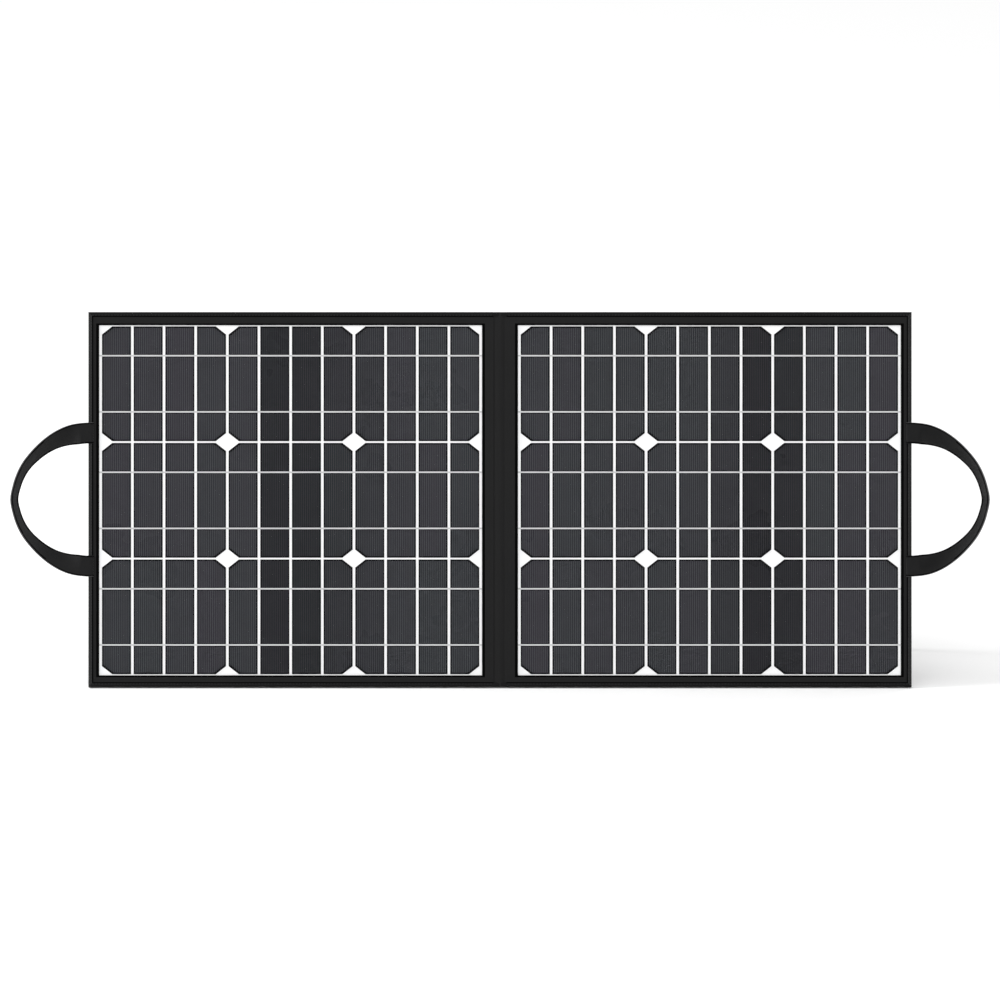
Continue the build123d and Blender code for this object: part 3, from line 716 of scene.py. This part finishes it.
def build_binding(name, side):
    rings = []
    for i, (p, way) in enumerate(tape_path()):
        wave = 0.035 * math.sin(i * 1.7) + 0.03 * math.sin(i * 0.61 + 2.0)
        ring = []
        for e, w in TAPE:
            proud = wave if w > 4.9 and e > 1.5 else 0.0
            q = p + way * e
            ring.append((side * q[0], q[1], w + proud))
        rings.append(ring)
    p, f, uv = loft(rings)
    stations, n = tape_path(), len(TAPE)
    # Painted shade: faces on the top and bottom runs take the darker copy of the tape. The faces at the
    # tape's inner edge, where it meets the frame, take the near-black painted shade.
    kinds = []
    for q in f:
        k, j = min(q) // n, min(i % n for i in q)
        level = abs(stations[k][1][1]) > 0.5 and abs(stations[min(k + 1, len(stations) - 1)][1][1]) > 0.5
        kinds.append(2 if j in (0, 1, 17, 18) else int(level))
    ob = piece(f"{name}_edge_binding", p, f, BINDING, uv, mats=((BINDING_PAINTED_SHADE, PAINTED_SHADE_BLACK), kinds))
    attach(ob, f"{name}_leaf")
    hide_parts(f"{name}_binding")
    inset = 3.4
    parts = []
    for w, n in ((5.02, (0, 0, 1)), (-1.4, (0, 0, -1))):
        route = [(INNER + 1, HEIGHT - inset), (HALF - inset, HEIGHT - inset), (HALF - inset, inset),
                 (INNER + 1, inset)]
        for a, b in zip(route, route[1:]):
            parts.append(thread_run([(side * a[0], a[1], w), (side * b[0], b[1], w)], n))
    p, f, uv = joined(parts)
    ob = piece(f"{name}_binding_stitches", p, f, THREAD, uv)
    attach(ob, f"{name}_leaf")


for name, side in SIDES:
    build_frame(name, side)
    build_binding(name, side)


# ---------------------------------------------------------------- back covers
def sheet_grid(x0, x1, v0, v1, top, base, nx, nv, lift=None):
    """A thin closed sheet over a rectangle; lift gives the outer face's extra height at a point."""
    xs, vs = np.linspace(x0, x1, nx), np.linspace(v0, v1, nv)
    points, faces = [], []
    for level in (0, 1):
        for v in vs:
            for x in xs:
                w = top + (lift(x, v) if lift else 0.0) if level else base
                points.append((x, v, w))
    size = nx * nv
    for j in range(nv - 1):
        for i in range(nx - 1):
            a = j * nx + i
            quad = (a, a + 1, a + nx + 1, a + nx)
            faces.append(quad[::-1])
            faces.append(tuple(size + k for k in quad))
    rim = list(range(nx)) + [j * nx + nx - 1 for j in range(1, nv)]
    rim += [(nv - 1) * nx + i for i in range(nx - 2, -1, -1)] + [j * nx for j in range(nv - 2, 0, -1)]
    for a, b in zip(rim, rim[1:] + rim[:1]):
        faces.append((a, b, size + b, size + a))
    points = np.array(points)
    return points, faces, points[:, :2].copy()


def soft_back(x, v):
    """Slack cloth on the back: shallow pulls, held flat at its edges."""
    edge = min(HALF - abs(x), abs(x) - 7, v, HEIGHT - v) / 30.0
    hold = max(0.0, min(1.0, edge))
    return -hold * (0.16 + 0.14 * math.sin(x * 0.021 + v * 0.013) + 0.1 * math.sin(x * 0.057 - v * 0.043))


for name, side in SIDES:
    p, f, uv = sheet_grid(side * INNER, side * (HALF - 0.7), 0.7, HEIGHT - 0.7, W_COVER, -0.02, 60, 56,
                          soft_back)
    back = piece(f"{name}_back_cloth", p, f, BACK_FABRIC, uv)
    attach(back, f"{name}_leaf")
    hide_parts(f"{name}_back_cover")


# ---------------------------------------------------------------- the soft fold between the leaves
def fold_half(name, side, w_in, w_out, material, lift):
    """Half of the fold's cloth, from a leaf's inner edge to the middle."""
    xs = np.concatenate([[INNER + 0.05], np.linspace(7.0, 0.0, 22)])
    n = 64
    vs = np.linspace(0.7, HEIGHT - 0.7, n)
    rings = []
    for v in vs:
        outer = [(side * x, v, w_out + lift(side * x, v)) for x in xs]
        inner = [(side * x, v, w_in) for x in xs[::-1]]
        rings.append(outer + inner)
    p, f, _ = loft(rings)
    return piece(name, p, f, material, p[:, :2])


def front_lift(x, v):
    """Two soft fold grooves either side of a low rounded middle."""
    groove = math.exp(-((x + 6.0) / 1.3) ** 2) * 0.55 + math.exp(-((x - 4.6) / 1.5) ** 2) * 0.5
    crown = 0.35 * math.exp(-(x / 3.2) ** 2)
    return crown - groove + 0.05 * math.sin(v * 0.05 + x) * math.exp(-(x / 4.0) ** 2)


def back_lift(x, v):
    return -0.25 * math.exp(-(x / 3.0) ** 2) + 0.25 * math.exp(-((abs(x) - 6.0) / 1.2) ** 2)


for name, side in SIDES:
    for label, w_in, w_out, lift, pair in (
            ("fold_front", W_SEAT, W_FRAME - 0.1, front_lift, ("spine_lining",)),
            ("fold_back", -0.02, W_COVER, back_lift, ("spine_cover",))):
        cloth = FABRIC if "front" in label else BACK_FABRIC
        ob = fold_half(f"{name}_{label}", side, w_in, w_out, cloth, lift)
        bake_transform(ob)
        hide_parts(*pair)


def fold_binding():
    """The edge tape across the fold, in two halves at the top and the bottom, in the darker painted-shade
    copy of the tape.
    """
    for name, side in SIDES:
        for label, v_edge, way in (("top", HEIGHT, -1), ("bottom", 0.0, 1)):
            rings = []
            for x in np.linspace(INNER - 0.05, 0.0, 14):
                dip = 0.5 * math.exp(-(x / 2.6) ** 2)
                ring = [(side * x, v_edge + way * (e + 0.05), w - (dip if w > 4 else 0.0)) for e, w in TAPE]
                rings.append(ring)
            p, f, uv = loft(rings)
            ob = piece(f"{name}_fold_{label}_tape", p, f, BINDING_PAINTED_SHADE, uv)
            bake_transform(ob)


fold_binding()


CABLE_HALF = (5.8, 0.38)


def build_link_cable():
    """The flat cable inside the fold, in two halves."""
    low, high = (local(corner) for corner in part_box("link_cable"))
    half = max(abs(low[0]), abs(high[0])) - 0.1
    (v0, v1), (w0, w1) = sorted((low[1], high[1])), sorted((low[2], high[2]))
    for name, side in SIDES:
        mid_v, mid_w = (v0 + v1) / 2, (w0 + w1) / 2
        rings = []
        for x in np.linspace(half, 0.0, 26):
            rings.append([(side * x, mid_v + CABLE_HALF[0] * math.cos(a), mid_w + CABLE_HALF[1] * math.sin(a))
                          for a in np.linspace(0, 2 * math.pi, 20, endpoint=False)])
        p, f, uv = loft(rings)
        ob = piece(f"{name}_fold_cable", p, f, CABLE, uv)
        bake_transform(ob)
        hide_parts("link_cable")


build_link_cable()


# ---------------------------------------------------------------- webbing handles
LOOP = ((0.0, 84.2), (8.7, 83.4), (17.5, 81.7), (26.2, 78.6), (35.0, 74.1), (43.7, 68.2), (52.5, 60.6),
        (61.2, 51.4), (69.5, 40.6), (75.6, 29.0), (80.0, 16.0), (82.9, 0.0))
TWIST = 73.0


def webbing_section():
    """Outline of flat webbing with rounded woven edges: across and through."""
    a, b = STRAP_W / 2, STRAP_T / 2
    top = [(x, b * (1.0 - 0.12 * math.cos(x / a * math.pi))) for x in np.linspace(-a + 0.5, a - 0.5, 17)]
    low = [(x, -h) for x, h in reversed(top)]
    return [(-a, -0.3 * b), (-a, 0.3 * b)] + top + [(a, 0.3 * b), (a, -0.3 * b)] + low


def handle_half(side):
    """Sections of half the strap, from its seam in the frame to the middle of the loop."""
    section = np.array(webbing_section())
    stations = []
    for x, w in ((HALF - BIND_W - 0.75, 3.9), (HALF - BIND_W - 0.75, 4.7), (HALF - BIND_W - 0.35, 5.35),
                 (HALF - BIND_W + 0.5, 5.62), (HALF - 2.0, 5.68), (HALF, 5.67), (HINGE_X - 0.2, 5.65)):
        stations.append(((x, MID_V + STRAP_ROOT, w), np.array((0.0, -1.0, 0.0))))
    ways = {0: (0.25, 1.0), 1: (0.3, 1.0), 2: (0.85, 0.8)}
    curve = spline([(0, *p) for p in LOOP] + [(0, LOOP[-2][0], -LOOP[-2][1])], 4 * len(LOOP) + 1)[:-4, 1:]
    last = len(curve) - 1
    rings = []
    for i, (mid, wide) in enumerate(stations):
        fx, fw = ways.get(i, (1.0, 0.0))
        along = np.array((fx, 0.0, fw)) / math.hypot(fx, fw)
        through = np.array((-along[2], 0.0, along[0]))
        rings.append([np.array(mid) + wide * a + through * b for a, b in section])
    for i in range(1, last + 1):
        out, up = curve[i]
        prev, after = curve[max(i - 1, 0)], curve[min(i + 1, last)]
        run = after - prev
        if i == last:
            run = np.array((0.0, -1.0))
        run = run / np.linalg.norm(run)
        share = max(0.0, (i / last * (len(LOOP) - 1) - 1.0) / (len(LOOP) - 2))
        turn = math.radians(TWIST * (1 - (1 - share) ** 1.9))
        inward = np.array((run[1], -run[0]))
        wide = np.array((inward[0] * math.cos(turn), inward[1] * math.cos(turn), -math.sin(turn)))
        along = np.array((run[0], run[1], 0.0))
        through = np.cross(along, wide) * -1
        edge = np.array((HINGE_X + out, MID_V + up, W_FRONT + STRAP_T / 2))
        mid = edge + wide * (STRAP_W / 2)
        if i < 4:
            wide = np.array((0.0, -1.0, 0.0)) if turn < 0.01 else wide
        rings.append([mid + wide * a + through * b for a, b in section])
    return rings


def build_handle(name, side):
    half = handle_half(side)
    other = [[(q[0], 2 * MID_V - q[1], q[2]) for q in ring] for ring in half[:-1]]
    rings = half + other[::-1]
    rings = [[(side * q[0], q[1], q[2]) for q in ring] for ring in rings]
    p, f, uv = loft(rings)
    n = len(rings[0])
    # Painted shade and highlight: faces along the edges of the strap's broad faces take the near-black
    # painted shade, in a band that widens towards the middle of the loop. The rim faces along one edge take
    # the painted highlight.
    kinds = []
    for q in f:
        place = sorted({i % n for i in q})
        j = place[0]
        turned = 1.0 - abs(2.0 * (min(q) // n) / (len(rings) - 1) - 1.0)
        step = min(j - 2, 17 - j) if j < 18 else min(j - 21, 36 - j)
        rim = place in ([0, 1], [0, n - 1], [1, 2])
        kinds.append(2 if rim else int(len(q) == 4 and 0 <= step <= 3.2 * turned * turned))
    ob = piece(f"{name}_webbing_handle", p, f, WEBBING, uv, mats=((PAINTED_SHADE_BLACK, WEBBING_PAINTED_HIGHLIGHT), kinds))
    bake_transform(ob)
    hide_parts(f"{name}_handle_loop", f"{name}_handle_ends")


for name, side in SIDES:
    build_handle(name, side)


# ---------------------------------------------------------------- rear legs
LEG_X, LEG_W, LEG_V = 330.0, 130.0, 320.0
LEG_RIM, LEG_BARS = 28.0, 96.0
FOOT_H, FOOT_OUT = 12.0, 3.0
STAY_SIDE, STAY_DROP, STAY_SAG = 47.0, 165.0, 3.5
PIN = {name: np.array(JOINTS[f"{name}_leg_fold"]["pos_m"], float) for name, _ in SIDES}
LEG_BACK = math.radians(13.0)
DOWN = np.array([0.0, math.sin(LEG_BACK), -math.cos(LEG_BACK)])
REAR = np.array([0.0, math.cos(LEG_BACK), math.sin(LEG_BACK)])
LEG_LEN = (PIN["left"][2] / MM - 3.0 * math.sin(LEG_BACK)) / math.cos(LEG_BACK)


def on_leg(name, points):
    """Leg coordinates (across from its middle, down it, out of its rear) in mm to the row frame."""
    p = np.asarray(points, float) * MM
    return PIN[name] + p[:, :1] * ACROSS + p[:, 1:2] * DOWN + p[:, 2:3] * REAR


def build_foot(name):
    """Rubber shoe with ribs along its faces and a rounded sole."""
    x = LEG_W / 2 + 1.5
    top, out = LEG_LEN - FOOT_H, FOOT_OUT
    outline = [(top, -1.5), (top, -2.6), (top + 0.5, -out)]
    for k in range(4):
        d = top + 1.6 + k * 2.1
        outline += [(d, -out), (d + 0.3, -out + 0.45), (d + 0.8, -out + 0.45), (d + 1.1, -out)]
    outline += [(LEG_LEN - 0.9, -out), (LEG_LEN - 0.02, -out + 0.35), (LEG_LEN, 0.0),
                (LEG_LEN - 0.2, out - 0.8),
                (LEG_LEN - 1.0, out)]
    for k in range(3, -1, -1):
        d = top + 1.6 + k * 2.1
        outline += [(d + 1.1, out), (d + 0.8, out - 0.45), (d + 0.3, out - 0.45), (d, out)]
    outline += [(top + 0.5, out), (top, 2.6), (top, 1.5)]
    mid_d = (top + LEG_LEN) / 2
    rings = []
    for f, shrink in ((-1.0, 0.86), (-0.985, 0.97), (-0.96, 1.0), (0.96, 1.0), (0.985, 0.97), (1.0, 0.86)):
        sole = min(1, shrink + 0.03)
        rings.append([(f * x, mid_d + (d - mid_d) * (shrink if d < LEG_LEN - 1 else sole), t * shrink)
                      for d, t in outline])
    p, f, uv = loft(rings)
    ob = piece(f"{name}_ribbed_foot", on_leg(name, p), f, RUBBER, uv, in_leaf=False)
    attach(ob, f"{name}_leg")
    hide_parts(f"{name}_leg_foot")


def leg_threads(name):
    """A seam 4 mm inside the leg's edge on both faces, and one round its window on the rear face."""
    a, top, low = LEG_W / 2 - 4.0, 12.0, LEG_LEN - 17.0
    wx, wc, wh = LEG_W / 2 - LEG_RIM + 4.0, LEG_LEN / 2 + 4.0, (LEG_LEN - LEG_BARS) / 2 + 4.0
    outer = [(-a, top), (a, top), (a, low), (-a, low), (-a, top)]
    r = 20.0
    inner = []
    for k, (sx, sv) in enumerate(((1, -1), (1, 1), (-1, 1), (-1, -1))):
        for t in np.linspace(0, math.pi / 2, 7):
            ang = -math.pi / 2 + k * math.pi / 2 + t
            inner.append((sx * (wx - r) + r * math.cos(ang), wc + sv * (wh - r) + r * math.sin(ang)))
    inner.append(inner[0])
    parts = []
    for t in (-1.5, 1.5):
        for route in ((outer, inner) if t > 0 else (outer,)):
            seam = [(x, d, t) for x, d in route]
            parts.append(thread_run(seam, (0, 0, 1 if t > 0 else -1), pitch=4.0, length=3.0))
    p, f, uv = joined(parts)
    ob = piece(f"{name}_leg_stitches", on_leg(name, p), f, THREAD, uv, in_leaf=False)
    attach(ob, f"{name}_leg")


def build_stay(name, side):
    """Limit strap between the leaf's back and the leg, slightly slack."""
    mid = side * (LEG_X + STAY_SIDE)
    low = world([mid, LEG_V - STAY_DROP, W_COVER - 0.1])
    high = PIN[name] + DOWN * STAY_DROP * MM - REAR * 1.55 * MM + ACROSS * (mid * MM - PIN[name][0])
    span = high - low
    rings = []
    for t in np.linspace(0, 1, 30):
        c = low + span * t + np.array([0, 0, -1.0]) * STAY_SAG * MM * math.sin(math.pi * t)
        lift = np.cross(ACROSS, span)
        lift = lift / np.linalg.norm(lift)
        ring = [c + ACROSS * x * MM + lift * h * MM for x, h in
                ((-10, -0.2), (-9.6, -0.5), (0, -0.55), (9.6, -0.5), (10, -0.2), (10, 0.2), (9.6, 0.5),
                 (0, 0.55), (-9.6, 0.5), (-10, 0.2))]
        rings.append(ring)
    p, f, uv = loft(rings)
    ob = piece(f"{name}_limit_strap", p, f, WEBBING, uv / MM, in_leaf=False)
    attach(ob, f"{name}_leaf")
    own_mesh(ob)
    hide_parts(f"{name}_leg_stay")


for name, side in SIDES:
    dress(f"{name}_leg", LEG_BOARD, 0.5, 2)
    dress(f"{name}_leg_hinge", NYLON, 0.35, 2)
    dress(f"{name}_leg_rivets", RIVET, 0.6, 3)
    build_foot(name)
    leg_threads(name)
    build_stay(name, side)


# ---------------------------------------------------------------- pocket
POCKET = (-232.0, -34.0, 110.0, 290.0)
POCKET_RISE = 22.0
W_RECESS = -20.7
ZIP_X, ZIP_V = -62.0, (128.0, 272.0)
TAPE_W0 = -21.6


def pocket_height(x, v):
    """How far the pocket's cloth stands off the back: full in the middle, taut along the zip."""
    a, b, c, d = POCKET
    ex = min(x - a, b - x) / 15.0
    ev = min(v - c, d - v) / 15.0
    rise = 1.0
    for e in (ex, ev):
        e = max(0.0, min(1.0, e))
        rise *= (1 - (1 - e) ** 2.4) ** 0.55 if e > 0 else 0.0
    across, along = math.sin(math.pi * (x - a) / (b - a)), math.sin(math.pi * (v - c) / (d - c))
    belly = 2.2 * max(0.0, across) * max(0.0, along)
    near_zip = math.exp(-((x - ZIP_X) / 20.0) ** 2)
    pulls = 0.5 * math.sin(x * 0.09 + v * 0.045) + 0.35 * math.sin(x * 0.05 - v * 0.12 + 1.3)
    corner = 1.1 * math.sin((x + v) * 0.16) * math.exp(-min(abs(x - a), abs(x - b)) / 22.0)
    return rise * (POCKET_RISE + (belly + pulls * 0.6 + corner * 0.4) * (1 - near_zip))


def build_pocket():
    a, b, c, d = POCKET
    hem = 9.0
    half_slot = 4.5
    xs = np.concatenate([[a - hem, a - hem * 0.5, a - 0.01], a + 15.0 * np.linspace(0, 1, 9) ** 1.6,
                         np.linspace(a + 19, ZIP_X - half_slot - 4, 34),
                         [ZIP_X - half_slot - 0.9, ZIP_X - half_slot - 0.25, ZIP_X - half_slot,
                          ZIP_X - half_slot + 0.05, ZIP_X, ZIP_X + half_slot - 0.05, ZIP_X + half_slot,
                          ZIP_X + half_slot + 0.25,
                          ZIP_X + half_slot + 0.9], np.linspace(ZIP_X + half_slot + 3, b - 16, 4),
                         b - 15.0 * np.linspace(1, 0, 9) ** 1.6, [b + 0.01, b + hem * 0.5, b + hem]])
    z0, z1 = ZIP_V
    vs = np.concatenate([[c - hem, c - hem * 0.5, c - 0.01], c + 14.0 * np.linspace(0, 1, 9) ** 1.6,
                         [z0 - 1.2, z0 - 0.3, z0, z0 + 0.05], np.linspace(z0 + 4, z1 - 4, 40),
                         [z1 - 0.05, z1, z1 + 0.3, z1 + 1.2], d - 14.0 * np.linspace(1, 0, 9) ** 1.6,
                         [d + 0.01, d + hem * 0.5, d + hem]])
    points, faces = [], []
    for v in vs:
        for x in xs:
            inside = abs(x - ZIP_X) < half_slot - 0.01 and z0 + 0.01 < v < z1 - 0.01
            if x < a or x > b or v < c or v > d:
                w = W_COVER - 0.85
                if x <= a - hem or x >= b + hem or v <= c - hem or v >= d + hem:
                    w = W_COVER - 0.25
            else:
                w = W_COVER - max(0.85, pocket_height(x, v))
            if inside:
                w = W_RECESS
            points.append((x, v, w))
    nx = len(xs)
    for j in range(len(vs) - 1):
        for i in range(nx - 1):
            q = j * nx + i
            faces.append((q, q + nx, q + nx + 1, q + 1))
    rim = list(range(nx)) + [j * nx + nx - 1 for j in range(1, len(vs))]
    rim += [(len(vs) - 1) * nx + i for i in range(nx - 2, -1, -1)]
    rim += [j * nx for j in range(len(vs) - 2, 0, -1)]
    start = len(points)
    for k in rim:
        points.append((points[k][0], points[k][1], W_COVER + 0.05))
    for i in range(len(rim)):
        k = (i + 1) % len(rim)
        faces.append((rim[i], rim[k], start + k, start + i))
    faces.append(tuple(start + i for i in range(len(rim))))
    points = np.array(points)
    uv = points[:, :2].copy()
    ob = piece("pocket_cloth", points, faces, BACK_FABRIC, uv)
    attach(ob, "left_leaf")
    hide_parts("pocket_body")

    parts = []
    m = 4.5
    route = [(a - m, c - m), (b + m, c - m), (b + m, d + m), (a - m, d + m), (a - m, c - m)]
    parts.append(thread_run([(x, v, W_COVER - 0.87) for x, v in route], (0, 0, -1), pitch=4.0, length=3.0))
    for off in (-half_slot - 2.6, half_slot + 2.6):
        route = [(ZIP_X + off, v, W_COVER - pocket_height(ZIP_X + off, v) - 0.02)
                 for v in np.linspace(z0 - 2.6, z1 + 2.6, 30)]
        parts.append(thread_run(route, (0, 0, -1), pitch=3.6, length=2.7))
    for v in (z0 - 2.6, z1 + 2.6):
        route = [(x, v, W_COVER - pocket_height(x, v) - 0.02)
                 for x in np.linspace(ZIP_X - 7.1, ZIP_X + 7.1, 6)]
        parts.append(thread_run(route, (0, 0, -1), pitch=3.6, length=2.7))
    p, f, uv = joined(parts)
    ob = piece("pocket_stitches", p, f, THREAD, uv)
    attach(ob, "left_leaf")


def build_zip():
    """Tape, interlocking coil teeth, slider and pull."""
    z0, z1 = ZIP_V
    p, f, uv = sheet_grid(ZIP_X - 9.5, ZIP_X + 9.5, z0 - 5.5, z1 + 5.5, TAPE_W0, TAPE_W0 + 0.7, 12, 30,
                          lambda x, v: 0.12 * math.cos((x - ZIP_X) / 9.5 * math.pi))
    tape = piece("zip_tape_cloth", p, f, WEBBING, uv[:, ::-1])
    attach(tape, "left_leaf")
    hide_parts("zip_tape")
    parts = []
    count = int((z1 - z0 - 2.0) / 1.25)
    for k in range(count):
        v = z0 + 1.0 + (k + 0.5) * 1.25
        for way in (-1, 1):
            shift = 0.31 * way
            route = ((2.15, -0.35), (1.75, -1.15), (0.6, -1.42), (-0.35, -1.3), (-0.75, -0.85))
            rings = []
            for i, (x, w) in enumerate(route):
                c = np.array((ZIP_X + way * x, v + shift, TAPE_W0 + w))
                nxt = np.array(route[min(i + 1, 4)]) - np.array(route[max(i - 1, 0)])
                t = np.array((way * nxt[0], 0, nxt[1]))
                t /= np.linalg.norm(t)
                s = np.cross(t, (0, 1, 0))
                rad = 0.27 if i < 4 else 0.36
                rings.append([c + rad * (math.cos(q) * s + math.sin(q) * np.array((0, 1, 0)))
                              for q in np.linspace(0, 2 * math.pi, 6, endpoint=False)])
            parts.append(loft(rings))
    p, f, uv = joined(parts)
    coil = piece("zip_coil_teeth", p, f, ZIP_COIL, uv)
    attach(coil, "left_leaf")
    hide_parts("zip_coil")
    dress("zip_slider", ZIP_METAL, 0.45, 3)
    dress("zip_pull", ZIP_METAL, 0.3, 3)


build_pocket()
build_zip()
CONTROLLER = (("controller_case", CASE, 0.5), ("controller_lid", CASE, 0.5),
              ("controller_board", CIRCUIT, 0.0), ("outlet_jack", NYLON, 0.2),
              ("usb_port", SHELL_METAL, 0.1), ("lid_screws", RIVET, 0.25),
              ("indicator_lens", LENS, 0.3))
for node, material, edge in CONTROLLER:
    dress(node, material, edge)
